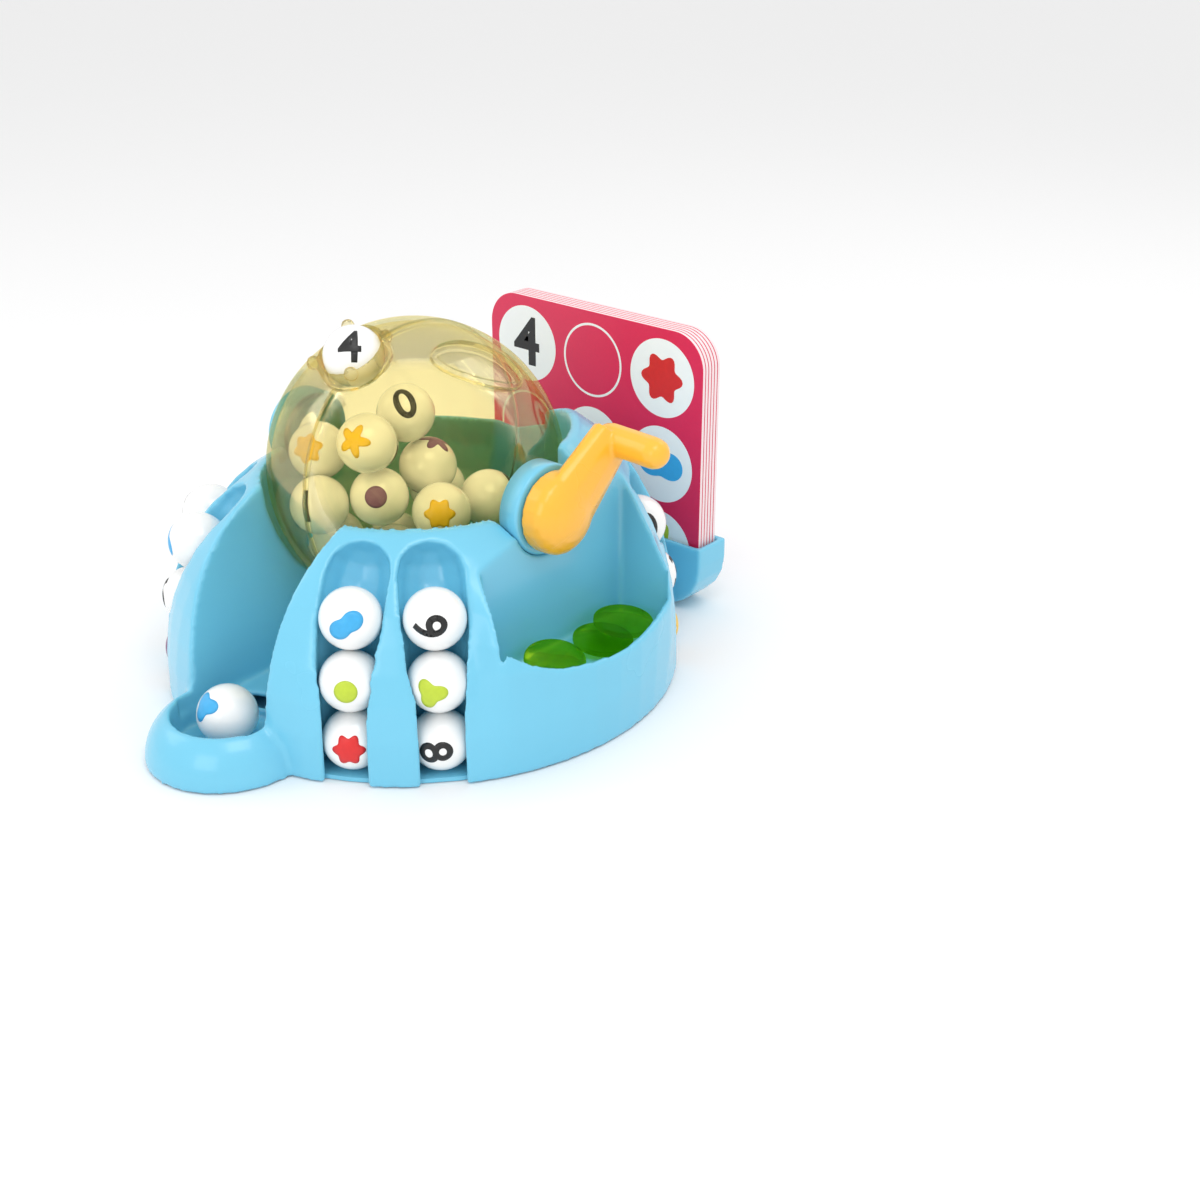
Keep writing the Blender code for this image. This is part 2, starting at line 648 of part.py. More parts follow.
def drum_half(side):
    """Half of the drum with its neck and stub; the left half also has the seam's spigot."""
    outer, inner = DRUM_R, DRUM_R - DRUM_WALL
    neck_start = math.sqrt(outer ** 2 - NECK_R ** 2)
    top = math.atan2(neck_start, NECK_R)
    profile = []
    rows = 7
    seam = GAP / 2
    start = math.asin(seam / outer)
    for row in range(rows + 1):
        turn = start + (top - start) * row / rows
        profile.append((outer * math.cos(turn), outer * math.sin(turn)))
    stub_end = NECK_END + COLLAR_LENGTH + (CRANK_SEAT if side > 0 else 0.0)
    profile += [(NECK_R, NECK_END), (STUB_R, NECK_END), (STUB_R, stub_end), (0.0, stub_end)]
    profile.append((0.0, inner))
    for row in range(rows, -1, -1):
        turn = start + (math.radians(90) - start) * row / (rows + 1)
        profile.append((inner * math.cos(turn), inner * math.sin(turn)))
    if side < 0:
        lip = inner - GAP
        profile[-1] = (inner, 0.003)
        profile += [(lip - 0.0012, 0.003), (lip - 0.0012, -SEAM_LIP), (lip, -SEAM_LIP), (lip, seam)]
    bm = turned(profile, DRUM_STEPS)
    bm.transform(Matrix.Rotation(math.radians(90 * side), 4, "Y"))
    name = "drum_half_right" if side > 0 else "drum_half_left"
    half = finish(bm, name, yellow_clear())
    half.location = (0, 0, DRUM_Z)
    boolean(half, bpy.data.objects["cut_gate"])
    if side > 0:
        boolean(half, bpy.data.objects["cut_hatch"])
    return half


def drum_cutters():
    gate = turned([(0.0, DRUM_R - 0.02), (gate_r() + GAP, DRUM_R - 0.02), (gate_r() + GAP, DRUM_R + 0.02),
                   (0.0, DRUM_R + 0.02)], 28)
    gate.transform(gate_frame())
    as_cutter(finish(gate, "cut_gate"))
    hatch = prism(hatch_outline(GAP), DRUM_R - 0.02, DRUM_R + 0.02)
    hatch.transform(hatch_frame())
    as_cutter(finish(hatch, "cut_hatch"))


def gate_r():
    return BALL_R + BALL_PLAY + GATE_WALL


def ball_gate():
    """Ring in the seam that holds the drawn ball, with lugs round its rim."""
    inner = BALL_R + BALL_PLAY
    low, high = DRUM_R - 0.0045, DRUM_R + GATE_RISE
    bm = turned([(inner, low), (gate_r(), low), (gate_r(), high), (inner, high)], 24)
    bm.transform(gate_frame())
    gate = finish(bm, "ball_gate", yellow_clear())
    for number in range(GATE_LUGS):
        turn = math.tau * (number + 0.5) / GATE_LUGS
        lug = ball_mesh(0.0034, 7, 5)
        place = gate_frame() @ Matrix.Translation(((gate_r() + 0.0004) * math.cos(turn),
                                                   (gate_r() + 0.0004) * math.sin(turn), high + 0.0004))
        lug.transform(place)
        boolean(gate, as_cutter(finish(lug, f"form_lug_{number}")), "UNION")
    clear = ball_mesh(BALL_R + BALL_PLAY - 0.0001, 12, 8)
    clear.transform(gate_frame() @ Matrix.Translation((0, 0, gate_ball_distance())))
    boolean(gate, as_cutter(finish(clear, "cut_gate_ball")))
    gate_bore = turned([(0.0, 0.05), (inner - 0.0002, 0.05), (inner - 0.0002, 0.1), (0.0, 0.1)], 24)
    gate_bore.transform(gate_frame())
    boolean(gate, as_cutter(finish(gate_bore, "cut_gate_bore")))
    return gate


def loading_hatch():
    """Oval lid: a plate that follows the drum, with a raised rim."""
    plate = prism(hatch_outline(0.0), DRUM_R - 0.02, DRUM_R + 0.02)
    plate.transform(hatch_frame())
    hatch = finish(plate, "loading_hatch", yellow_clear())
    shell = bmesh.new()
    bmesh.ops.create_uvsphere(shell, u_segments=40, v_segments=24, radius=DRUM_R + 0.0012)
    shell.transform(Matrix.Translation((0, 0, DRUM_Z)))
    boolean(hatch, as_cutter(finish(shell, "form_hatch_outer")), "INTERSECT")
    inner = bmesh.new()
    bmesh.ops.create_uvsphere(inner, u_segments=40, v_segments=24, radius=DRUM_R - DRUM_WALL)
    inner.transform(Matrix.Translation((0, 0, DRUM_Z)))
    boolean(hatch, as_cutter(finish(inner, "cut_hatch_inner")))
    dish = prism(hatch_outline(-0.0022), DRUM_R - 0.02, DRUM_R + 0.02)
    dish.transform(hatch_frame())
    dish_obj = as_cutter(finish(dish, "cut_hatch_dish"))
    keep = bmesh.new()
    bmesh.ops.create_uvsphere(keep, u_segments=40, v_segments=24, radius=DRUM_R - 0.0006)
    keep.transform(Matrix.Translation((0, 0, DRUM_Z)))
    boolean(dish_obj, as_cutter(finish(keep, "form_hatch_floor")))
    boolean(hatch, dish_obj)
    return hatch


def bearing_collar(side):
    inner = STUB_R + GAP
    low, high = NECK_END + GAP, NECK_END + GAP + COLLAR_LENGTH
    name = "bearing_collar_right" if side > 0 else "bearing_collar_left"
    bm = turned([(inner, low), (COLLAR_R, low), (COLLAR_R, high), (inner, high)], 28)
    bm.transform(Matrix.Rotation(math.radians(90 * side), 4, "Y"))
    collar = finish(bm, name, blue())
    collar.location = (0, 0, DRUM_Z)
    return collar


def crank():
    """Hub, tapered arm and round-ended handle in one moulding."""
    start = NECK_END + 2 * GAP + COLLAR_LENGTH + 0.0004
    turn = math.radians(CRANK_ANGLE)
    reach = Vector((0, math.cos(turn), math.sin(turn))) * CRANK_REACH
    hub_profile = [(0.0, start), (CRANK_HUB_R, start)]
    for step in range(1, 6):
        bend = math.radians(18 * step)
        hub_profile.append((CRANK_HUB_R * math.cos(bend) if step < 5 else 0.0,
                            start + CRANK_HUB_LENGTH - 0.009 + 0.009 * math.sin(bend)))
    hub_profile.insert(2, (CRANK_HUB_R, start + CRANK_HUB_LENGTH - 0.009))
    hub = turned(hub_profile, 20)
    hub.transform(Matrix.Rotation(math.radians(90), 4, "Y"))
    obj = finish(hub, "crank", orange())
    obj.location = (0, 0, DRUM_Z)

    bm = bmesh.new()
    sides = 12
    loops = []
    rows = 4
    for row in range(rows + 1):
        t = row / rows
        wide = CRANK_ARM_ROOT + (CRANK_ARM_TIP - CRANK_ARM_ROOT) * t
        thick = CRANK_ARM_THICK + (CRANK_GRIP_R - CRANK_ARM_THICK) * t
        centre = reach * t + Vector((start + CRANK_ARM_SET, 0, 0))
        across = Vector((0, -math.sin(turn), math.cos(turn)))
        loops.append([bm.verts.new(centre + across * wide * math.cos(math.tau * k / sides)
                                   + Vector((1, 0, 0)) * thick * math.sin(math.tau * k / sides))
                      for k in range(sides)])
    for one, two in zip(loops, loops[1:]):
        for k in range(sides):
            bm.faces.new((one[k], one[(k + 1) % sides], two[(k + 1) % sides], two[k]))
    bm.faces.new(loops[0][::-1])
    bm.faces.new(loops[-1])
    arm = as_cutter(finish(bm, "form_crank_arm"))
    arm.location = obj.location
    boolean(obj, arm, "UNION")

    end = Vector((start + CRANK_ARM_SET, 0, 0)) + reach
    grip_path = [end, end + Vector((CRANK_HANDLE * 0.5, -0.0012, 0)),
                 end + Vector((CRANK_HANDLE - CRANK_GRIP_R, -0.002, 0))]
    grip = as_cutter(finish(tube_along(grip_path, CRANK_GRIP_R, 12, 3), "form_crank_grip"))
    grip.location = obj.location
    boolean(obj, grip, "UNION")
    seat = NECK_END + COLLAR_LENGTH + CRANK_SEAT + GAP
    socket = turned([(0.0, 0.05), (STUB_R + GAP, 0.05), (STUB_R + GAP, seat), (0.0, seat)], 14)
    socket.transform(Matrix.Rotation(math.radians(90), 4, "Y"))
    cut = as_cutter(finish(socket, "cut_crank_socket"))
    cut.location = obj.location
    boolean(obj, cut)
    return obj


def balls():
    shared = finish(ball_mesh(BALL_R), "ball_in_tray", white(), 180.0)
    shared.location = (0, TRAY_Y, TRAY_FLOOR + BALL_R + GAP)
    mesh = shared.data

    def ball(name, place):
        obj = bpy.data.objects.new(name, mesh)
        bpy.context.scene.collection.objects.link(obj)
        obj.location = place
        return obj

    ball("ball_in_gate", Vector((0, 0, DRUM_Z)) + gate_direction() * gate_ball_distance())
    for name, azimuth in COLUMNS.items():
        turn = math.radians(azimuth)
        for (radius, height), level in zip(column_balls(), COLUMN_NAMES):
            ball(f"ball_{name}_{level}", (radius * math.sin(turn), -radius * math.cos(turn), height))
    for number, offset in enumerate(DRUM_BALLS, 1):
        ball(f"drum_ball_{number:02d}", Vector((0, 0, DRUM_Z)) + Vector(offset))


def tokens():
    """Dished marker tokens that overlap along the pocket."""
    profile = [(0.0, 0.0), (TOKEN_R - 0.003, 0.0), (TOKEN_R, 0.0012), (TOKEN_R, 0.0012 + TOKEN_THICK),
               (TOKEN_R - 0.0012, 0.0012 + TOKEN_THICK), (TOKEN_R - 0.0035, TOKEN_THICK * 0.6),
               (0.0, TOKEN_THICK * 0.6)]
    floor = POCKET_FLOOR + GAP
    places = (((0.1025, -0.0180, floor + 0.0037), (0, 13, -20)),
              ((0.1035, 0.0140, floor + 0.0019), (0, 6, 0)),
              ((0.1035, 0.0285, floor + 0.0058), (0, 6, 0)))
    for number, (place, turn) in enumerate(places, 1):
        token = finish(turned(profile, 16), f"token_{number}", green())
        token.location = place
        token.rotation_euler = [math.radians(a) for a in turn]


def card_rack():
    depth = WALL + 0.0012 + CARD_COUNT * (CARD_THICK + GAP) + 0.0012 + WALL
    half = CARD_SIDE / 2 + 0.0012 + WALL
    outline = [(x, z + RACK_HEIGHT / 2 + RACK_BOTTOM / 2) for x, z in
               round_rectangle(half, (RACK_HEIGHT - RACK_BOTTOM) / 2,
                               (RACK_CORNER, RACK_CORNER, 0.0006, 0.0006))]
    rack = finish(prism(outline, RACK_Y, RACK_Y + depth, "Y"), "card_rack", blue())
    inner = [(x, z + 0.05 + RACK_BOTTOM + WALL) for x, z in
             round_rectangle(half - WALL, 0.05, (RACK_CORNER - WALL, RACK_CORNER - WALL, 0.001, 0.001))]
    boolean(rack, as_cutter(finish(prism(inner, RACK_Y + WALL, RACK_Y + depth - WALL, "Y"), "cut_rack")))
    for side in (1, -1):
        hole = turned([(0.0, -0.02), (SCREW_R + GAP, -0.02), (SCREW_R + GAP, 0.02), (0.0, 0.02)], 8)
        hole.transform(Matrix.Translation((side * RACK_SCREW_X, RACK_Y, RACK_SCREW_Z))
                       @ Matrix.Rotation(math.radians(90), 4, "X"))
        boolean(rack, as_cutter(finish(hole, f"cut_rack_hole_{side}")))
        head = RACK_Y + WALL + GAP
        tip = RACK_Y - 0.005
        screw = turned([(0.0, tip), (SCREW_R, tip), (SCREW_R, head), (SCREW_HEAD_R, head),
                        (SCREW_HEAD_R, head + 0.0007), (0.0, head + 0.0007)], 10)
        screw.transform(Matrix.Rotation(math.radians(-90), 4, "X"))
        obj = finish(screw, "rack_screw_right" if side > 0 else "rack_screw_left", steel())
        obj.location = (side * RACK_SCREW_X, 0, RACK_SCREW_Z)
    return rack


def cards():
    floor = RACK_BOTTOM + WALL + GAP
    for number in range(CARD_COUNT):
        low = RACK_Y + WALL + 0.0012 + GAP + number * (CARD_THICK + GAP)
        corners = (RACK_CORNER, RACK_CORNER, CARD_CORNER, CARD_CORNER)
        outline = [(x, z + CARD_SIDE / 2 + floor)
                   for x, z in round_rectangle(CARD_SIDE / 2, CARD_SIDE / 2, corners, 4)]
        finish(prism(outline, low, low + CARD_THICK, "Y"), f"card_{number + 1}", crimson())


def main():
    for obj in list(bpy.data.objects):
        bpy.data.objects.remove(obj, do_unlink=True)
    base_shell()
    bottom_cover()
    drum_cutters()
    drum_half(1)
    drum_half(-1)
    ball_gate()
    loading_hatch()
    bearing_collar(1)
    bearing_collar(-1)
    crank()
    balls()
    tokens()
    card_rack()
    cards()


main()
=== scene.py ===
"""Tabletop bingo cage: the visible mouldings, balls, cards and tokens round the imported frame."""
import json
import math

import bmesh
import bpy
from bpy.props import FloatProperty, FloatVectorProperty, PointerProperty
from mathutils import Matrix, Vector


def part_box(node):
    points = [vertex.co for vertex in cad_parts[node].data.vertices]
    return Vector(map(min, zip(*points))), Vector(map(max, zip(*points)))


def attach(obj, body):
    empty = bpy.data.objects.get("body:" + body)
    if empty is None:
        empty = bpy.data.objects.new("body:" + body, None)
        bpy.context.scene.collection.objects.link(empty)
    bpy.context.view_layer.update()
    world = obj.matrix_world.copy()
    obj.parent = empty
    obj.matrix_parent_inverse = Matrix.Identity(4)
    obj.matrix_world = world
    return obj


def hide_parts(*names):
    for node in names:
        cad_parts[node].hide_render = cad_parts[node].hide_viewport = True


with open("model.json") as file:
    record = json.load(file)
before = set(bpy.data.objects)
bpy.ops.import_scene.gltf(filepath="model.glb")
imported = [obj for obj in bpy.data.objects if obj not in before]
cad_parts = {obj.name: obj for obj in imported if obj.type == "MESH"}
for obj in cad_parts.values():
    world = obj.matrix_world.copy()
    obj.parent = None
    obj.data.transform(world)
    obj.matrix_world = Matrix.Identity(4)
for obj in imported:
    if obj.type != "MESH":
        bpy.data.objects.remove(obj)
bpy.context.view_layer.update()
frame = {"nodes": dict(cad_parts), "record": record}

bl_info = {
    "name": "Bingo cage",
    "version": (1, 0, 0),
    "blender": (4, 5, 0),
    "location": "View3D > Sidebar > Bingo cage",
    "description": "Models the visible pieces of a tabletop bingo cage round its fixed frame",
    "category": "Object",
}

MM = 0.001
AXLE = Vector((0.0, 0.0, (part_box("drum_half_left")[0].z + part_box("drum_half_left")[1].z) / 2))
DRUM_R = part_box("drum_half_left")[1].y
NECK_R = 19.5 * MM          # moulded neck at each end of the drum
NECK_END = 73.5 * MM
STUB_R = 10.0 * MM          # stub shaft beyond the neck
EDGE = 0.6 * MM             # broken edge of the neck and the stub
SEAM = 0.15 * MM            # half the gap between the drum's halves
COLLAR_BORE = 10.3 * MM
CARD_FOOT_R = 26.0 * MM     # round corners at the foot of a card
CARD_TOP_R = 18.0 * MM      # and at its top
CELLS = 3.12                # cells of a card's grid across its side, with its margin
TOKEN_R = 14.0 * MM
TOKEN_TURNS = ((0, 13, -20), (0, 6, 0), (0, 6, 0))


# ---- the sizes and colours that a user would change ----
class CageSettings(bpy.types.PropertyGroup):
    blue: FloatVectorProperty(name="Base colour", description="Colour of the base moulding and the rack",
                              subtype="COLOR", default=(0.165, 0.560, 0.770))
    orange: FloatVectorProperty(name="Crank colour", description="Colour of the crank",
                                subtype="COLOR", default=(0.965, 0.480, 0.035))
    drum_tint: FloatVectorProperty(name="Drum tint", subtype="COLOR", default=(0.994, 0.958, 0.790),
                                   description="What one face of the clear drum lets through")
    drum_edge: FloatVectorProperty(name="Drum edge tint", subtype="COLOR", default=(0.955, 0.850, 0.420),
                                   description="The same where the wall is seen edge on")
    token_tint: FloatVectorProperty(name="Token tint", description="What one face of a token lets through",
                                    subtype="COLOR", default=(0.660, 0.820, 0.140))
    card_red: FloatVectorProperty(name="Card colour", description="Printed ground of the playing cards",
                                  subtype="COLOR", default=(0.760, 0.014, 0.085))
    ball_r: FloatProperty(name="Ball radius", description="Radius of each ball", subtype="DISTANCE",
                          default=(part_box("ball_in_tray")[1].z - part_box("ball_in_tray")[0].z) / 2)
    drum_wall: FloatProperty(name="Drum wall", description="Thickness of the clear drum",
                             subtype="DISTANCE", default=2.2 * MM)
    disc_r: FloatProperty(name="Disc radius", description="Radius of the discs printed on a card",
                          subtype="DISTANCE", default=20.5 * MM)


def settings():
    return bpy.context.scene.bingo_cage


# ---- shader maths as expressions ----
class Term:
    """A node's socket with Python's operators."""

    def __init__(self, tree, socket):
        self.tree = tree
        self.socket = socket

    def math(self, operation, *values, clamp=False):
        node = self.tree.nodes.new("ShaderNodeMath")
        node.operation = operation
        node.use_clamp = clamp
        for place, value in zip(node.inputs, values):
            join(self.tree, place, value)
        return Term(self.tree, node.outputs[0])

    def __add__(self, other):
        return self.math("ADD", self, other)

    def __sub__(self, other):
        return self.math("SUBTRACT", self, other)

    def __mul__(self, other):
        return self.math("MULTIPLY", self, other)

    def __truediv__(self, other):
        return self.math("DIVIDE", self, other)

    def __rsub__(self, other):
        return self.math("SUBTRACT", other, self)

    __radd__ = __add__
    __rmul__ = __mul__

    def above(self, other):
        return self.math("GREATER_THAN", self, other)

    def below(self, other):
        return self.math("LESS_THAN", self, other)

    def root(self):
        return self.math("SQRT", self)


def join(tree, place, value):
    if isinstance(value, Term):
        tree.links.new(value.socket, place)
    else:
        place.default_value = value


class Finish:
    """A node material that starts with its output and a Principled shader."""

    def __init__(self, name):
        self.material = bpy.data.materials.new(name)
        self.material.use_nodes = True
        self.tree = self.material.node_tree
        self.shader = self.tree.nodes["Principled BSDF"]
        self.end = self.tree.nodes["Material Output"]

    def node(self, kind, output=0, options=None, **inputs):
        node = self.tree.nodes.new(kind)
        for key, value in (options or {}).items():
            setattr(node, key, value)
        for key, value in inputs.items():
            place = node.inputs[int(key[1:])] if key[1:].isdigit() else node.inputs[key.replace("_", " ")]
            join(self.tree, place, value)
        return Term(self.tree, node.outputs[output])

    def principled(self, **inputs):
        for key, value in inputs.items():
            join(self.tree, self.shader.inputs[key.replace("_", " ")], value)

    def place(self):
        return self.node("ShaderNodeTexCoord", "Object")

    def split(self, vector):
        node = self.tree.nodes.new("ShaderNodeSeparateXYZ")
        join(self.tree, node.inputs[0], vector)
        return [Term(self.tree, out) for out in node.outputs]

    def mix(self, amount, one, two):
        return self.node("ShaderNodeMix", 2, {"data_type": "RGBA"}, i0=amount, i6=one, i7=two)

    def noise(self, scale, detail=2.0):
        return self.node("ShaderNodeTexNoise", 0, Vector=self.place(), Scale=scale, Detail=detail)

    def bump(self, height, strength, distance):
        return self.node("ShaderNodeBump", 0, Height=height, Strength=strength, Distance=distance)


def colour(values, gain=1.0):
    return (*[value * gain for value in values], 1.0)


def moulded(name, tone, roughness=0.26, grain=0.05):
    """Satin moulded plastic: a faint cloudiness, flow marks in the gloss and a fine grain."""
    make = Finish(name)
    cloud = make.noise(18.0, 3.0)
    make.principled(Base_Color=make.mix(cloud, colour(tone, 0.95), colour(tone, 1.04)),
                    Roughness=cloud * 0.10 + (roughness - 0.05),
                    Normal=make.bump(make.noise(900.0, 3.0), grain, 0.0003),
                    Coat_Weight=0.25, Coat_Roughness=0.12, IOR=1.5)
    return make.material


def clear(name, tint, edge_tint, roughness=0.04, edge_blend=0.35):
    """Clear tinted plastic: light passes with a tint, deeper where the wall is seen edge on."""
    make = Finish(name)
    scuff = make.noise(60.0, 4.0)
    make.principled(Base_Color=colour(edge_tint), Roughness=scuff * 0.05 + roughness, IOR=1.5,
                    Transmission_Weight=1.0)
    face = make.node("ShaderNodeBsdfTransparent", 0, Color=colour(tint))
    edge = make.node("ShaderNodeBsdfTransparent", 0, Color=colour(edge_tint))
    facing = make.node("ShaderNodeLayerWeight", 1, Blend=edge_blend)
    passed = make.node("ShaderNodeMixShader", 0, i0=facing * facing * facing * 0.85, i1=face, i2=edge)
    gloss = make.node("ShaderNodeLayerWeight", 0, Blend=0.28)
    shader = Term(make.tree, make.shader.outputs[0])
    both = make.node("ShaderNodeMixShader", 0, i0=gloss * 0.42 + 0.02, i1=passed, i2=shader)
    make.tree.links.new(both.socket, make.end.inputs["Surface"])
    return make.material


def printed(name, tone, roughness=0.35):
    """A flat layer of ink, a little uneven."""
    make = Finish(name)
    cloud = make.noise(400.0)
    make.principled(Base_Color=make.mix(cloud, colour(tone, 0.88), colour(tone, 1.06)),
                    Roughness=cloud * 0.1 + roughness)
    return make.material


def ball_plastic():
    make = Finish("ball_plastic")
    cloud = make.noise(90.0, 3.0)
    make.principled(Base_Color=make.mix(cloud, (0.86, 0.86, 0.85, 1), (0.93, 0.93, 0.92, 1)),
                    Roughness=cloud * 0.08 + 0.14, Coat_Weight=0.4, Coat_Roughness=0.06)
    return make.material


def plated_steel():
    make = Finish("plated_steel")
    brushed = make.noise(1500.0, 2.0)
    make.principled(Base_Color=(0.62, 0.62, 0.60, 1), Metallic=1.0, Roughness=brushed * 0.2 + 0.22)
    return make.material


def card_board(name, low, high):
    """Printed card: discs and rings in a three by three grid on red, and a layered pale edge."""
    make = Finish(name)
    x, y, z = make.split(make.place())
    side = high.x - low.x
    cell = side / CELLS
    middle = Vector(((low.x + high.x) / 2, 0, (low.z + high.z) / 2))
    disc_r = settings().disc_r
    ring = None
    disc = None
    for column in (-1, 0, 1):
        for row in (-1, 0, 1):
            across = x - (middle.x + column * cell)
            up = z - (middle.z + row * cell)
            distance = (across * across + up * up).root()
            if is_disc(column, row):
                part = distance.below(disc_r)
                disc = part if disc is None else disc + part
            else:
                part = distance.below(disc_r * 0.96) * distance.above(disc_r * 0.90)
                ring = part if ring is None else ring + part
    ink = y.below(low.y + 0.25 * MM)
    fibres = make.noise(700.0, 4.0)
    layers = y.math("PINGPONG", y - low.y, 0.35 * MM) / (0.35 * MM)
    board = make.mix(layers, (0.86, 0.60, 0.66, 1), (0.90, 0.88, 0.86, 1))
    ground = make.mix(fibres, colour(settings().card_red, 0.94), colour(settings().card_red, 1.05))
    front = make.mix(disc + ring, ground, (0.95, 0.95, 0.94, 1))
    make.principled(Base_Color=make.mix(ink, board, front), Roughness=fibres * 0.15 + 0.32,
                    Normal=make.bump(fibres, 0.04, 0.0002), Coat_Weight=0.15, Coat_Roughness=0.25)
    return make.material


def is_disc(column, row):
    """The corners, the middle and the cell to its right are discs, and the others are rings."""
    return (column + row) % 2 == 0 or (column, row) == (1, 0)


# ---- making pieces ----
def add(name, mesh, body, nodes=()):
    """Links a finished piece, rides it on its body and hides the frame parts it stands in for."""
    piece = bpy.data.objects.new(name, mesh)
    bpy.context.scene.collection.objects.link(piece)
    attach(piece, body)
    if nodes:
        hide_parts(*nodes)


def to_mesh(bm, name, *materials, smooth=True):
    """Closes a bmesh into a mesh with its faces outwards."""
    bmesh.ops.remove_doubles(bm, verts=bm.verts, dist=1e-7)
    bmesh.ops.recalc_face_normals(bm, faces=bm.faces)
    for face in bm.faces:
        face.smooth = smooth
    mesh = bpy.data.meshes.new(name)
    bm.to_mesh(mesh)
    bm.free()
    for material in materials:
        mesh.materials.append(material)
    return mesh


def evaluated(mesh, modifiers):
    """The mesh with modifiers applied: each is a type and its settings."""
    holder = bpy.data.objects.new("holder", mesh)
    bpy.context.scene.collection.objects.link(holder)
    for kind, options in modifiers:
        modifier = holder.modifiers.new(kind.title(), kind)
        for key, value in options.items():
            setattr(modifier, key, value)
    bpy.context.view_layer.update()
    done = bpy.data.meshes.new_from_object(holder.evaluated_get(bpy.context.evaluated_depsgraph_get()))
    bpy.data.objects.remove(holder)
    return done


def softened(node, name, voxel, rounds, material, body, keep=1.0):
    """A CAD solid with its edges and joins run together, as a moulding comes out of its tool.

    keep is the share of the triangles that stay.
    """
    bm = bmesh.new()
    bm.from_mesh(frame["nodes"][node].data)
    mesh = to_mesh(bm, name, smooth=False)
    mesh = evaluated(mesh, [("REMESH", {"mode": "VOXEL", "voxel_size": voxel, "use_smooth_shade": True}),
                            ("SMOOTH", {"factor": 0.5, "iterations": rounds}),
                            ("DECIMATE", {"ratio": keep})])
    mesh.name = name
    mesh.materials.clear()
    mesh.materials.append(material)
    add(name, mesh, body, [node])


def turned(profile, axis, centre, steps):
    """A closed solid turned from a profile of (radius, height) points."""
    bm = bmesh.new()
    verts = [bm.verts.new((radius, 0, height)) for radius, height in profile]
    edges = [bm.edges.new(pair) for pair in zip(verts, verts[1:] + verts[:1])]
    bmesh.ops.spin(bm, geom=verts + edges, cent=(0, 0, 0), axis=(0, 0, 1), angle=math.tau, steps=steps,
                   use_merge=True, use_duplicate=False)
    bmesh.ops.remove_doubles(bm, verts=bm.verts, dist=1e-6)
    bmesh.ops.dissolve_degenerate(bm, edges=bm.edges, dist=1e-7)
    turn = Vector((0, 0, 1)).rotation_difference(Vector(axis)).to_matrix().to_4x4()
    bm.transform(Matrix.Translation(centre) @ turn)
    return bm


def arc(centre, radius, start, end, count):
    """Points on an arc, from one angle in degrees to another."""
    points = []
    for step in range(count + 1):
        angle = math.radians(start + (end - start) * step / count)
        points.append((centre[0] + radius * math.cos(angle), centre[1] + radius * math.sin(angle)))
    return points


# ---- printed marks ----
def numeral(text, size):
    """A flat numeral, centred, as a bmesh."""
    curve = bpy.data.curves.new("numeral", "FONT")
    curve.body = text
    curve.size = size
    curve.align_x = "CENTER"
    curve.align_y = "CENTER"
    curve.offset = size * 0.022
    curve.resolution_u = 6
    holder = bpy.data.objects.new("numeral", curve)
    bpy.context.scene.collection.objects.link(holder)
    mesh = bpy.data.meshes.new_from_object(holder.evaluated_get(bpy.context.evaluated_depsgraph_get()))
    bpy.data.objects.remove(holder)
    bm = bmesh.new()
    bm.from_mesh(mesh)
    bpy.data.meshes.remove(mesh)
    return bm


def blob(size, lobes, depth):
    """A flat disc, or with lobes a star or a flower, as a bmesh."""
    bm = bmesh.new()
    bmesh.ops.create_circle(bm, cap_ends=True, cap_tris=True, segments=60, radius=size / 2)
    for vert in bm.verts:
        angle = math.atan2(vert.co.y, vert.co.x)
        vert.co *= 1 - depth * (0.5 - 0.5 * math.cos(lobes * angle))
    return bm


MARKS = {
    "dot": (0, 0.0, 0.62),
    "star": (5, 0.52, 1.0),
    "flower": (6, 0.28, 0.92),
    "leaf": (2, 0.55, 1.0),
    "clover": (3, 0.42, 0.92),
}
INKS = {
    "black": (0.012, 0.012, 0.012),
    "lime": (0.52, 0.66, 0.04),
    "purple": (0.22, 0.09, 0.20),
    "red": (0.72, 0.02, 0.02),
    "sky": (0.05, 0.42, 0.80),
    "gold": (0.90, 0.55, 0.02),
}


def mark_shape(mark, size):
    """The flat shape of a mark, cut fine enough to bend round a ball."""
    if mark in MARKS:
        lobes, depth, share = MARKS[mark]
        bm = blob(size * share, lobes, depth)
    else:
        bm = numeral(mark, size * 1.25)
    for _ in range(5):
        bmesh.ops.triangulate(bm, faces=bm.faces)
        long_edges = [edge for edge in bm.edges if edge.calc_length() > size * 0.13]
        if not long_edges:
            break
        bmesh.ops.subdivide_edges(bm, edges=long_edges, cuts=1)
    bmesh.ops.triangulate(bm, faces=bm.faces)
    return bm


def thicken(bm, low, high):
    """Makes a flat shape a thin closed solid between two heights."""
    made = bmesh.ops.extrude_face_region(bm, geom=list(bm.faces))
    top = {item for item in made["geom"] if isinstance(item, bmesh.types.BMVert)}
    for vert in bm.verts:
        vert.co.z = high if vert in top else low
    return bm


def upright(direction, roll):
    """A frame with Z along direction and Y as near up as it can be, rolled about it."""
    direction = Vector(direction).normalized()
    across = Vector((0, 0, 1)).cross(direction)
    if across.length < 1e-3:
        across = Vector((1, 0, 0))
    across.normalize()
    up = direction.cross(across)
    return Matrix((across, up, direction)).transposed().to_4x4() @ Matrix.Rotation(math.radians(roll), 4, "Z")


